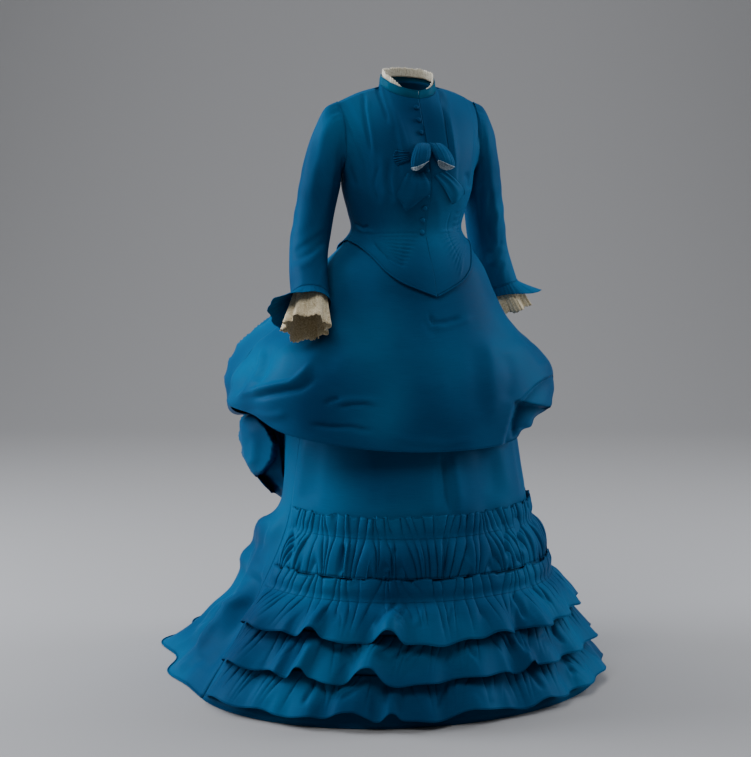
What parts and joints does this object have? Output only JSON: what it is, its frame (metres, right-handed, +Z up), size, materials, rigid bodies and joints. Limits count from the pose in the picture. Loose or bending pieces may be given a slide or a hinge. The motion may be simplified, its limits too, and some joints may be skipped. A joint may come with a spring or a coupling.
{
  "type": "bustle dress",
  "caption": "Trained day dress with a bustle: fitted pointed bodice, long frilled sleeves, stand collar, breast bow, draped overskirt and a flounced underskirt.",
  "frame": {"origin": "middle of the waist, where the wearer's waist holds the dress up", "axes": "+Z up from hem to collar, -Y out of the dress's front, +X to the wearer's left"},
  "size_m": [0.9904, 1.1864, 1.3816],
  "materials": {
    "blue_silk": "woven silk taffeta with a soft sheen",
    "collar_silk": "woven silk taffeta, a lighter teal",
    "pale_facing": "pale ice-blue silk",
    "cream_lace": "matte cream cotton lace",
    "ivory_frill": "matte ivory crepe"
  },
  "bodies": {
    "root": {"bodice_back_left": "blue_silk", "bodice_back_right": "blue_silk", "bodice_front_left": "blue_silk", "bodice_front_right": "blue_silk", "bow_facing_left": "pale_facing", "bow_facing_right": "pale_facing", "bow_gathers": "blue_silk", "bow_knot": "blue_silk", "bow_loop_left": "blue_silk", "bow_loop_right": "blue_silk", "bow_tail_left": "blue_silk", "bow_tail_right": "blue_silk", "button_01": "blue_silk", "button_02": "blue_silk", "button_03": "blue_silk", "button_04": "blue_silk", "button_05": "blue_silk", "button_06": "blue_silk", "button_07": "blue_silk", "button_08": "blue_silk", "button_09": "blue_silk", "button_10": "blue_silk", "button_11": "blue_silk", "collar": "collar_silk", "cuff_frill_left": "blue_silk", "cuff_frill_right": "blue_silk", "flounce_lower": "blue_silk", "flounce_middle": "blue_silk", "flounce_top": "blue_silk", "flounce_upper": "blue_silk", "lace_frill_left": "cream_lace", "lace_frill_right": "cream_lace", "neck_frill": "ivory_frill", "overskirt_apron": "blue_silk", "overskirt_puff_lower": "blue_silk", "overskirt_puff_upper": "blue_silk", "piping_left": "blue_silk", "piping_right": "blue_silk", "sleeve_left": "blue_silk", "sleeve_right": "blue_silk", "underskirt_front": "blue_silk", "underskirt_train": "blue_silk"}
  },
  "joints": []
}
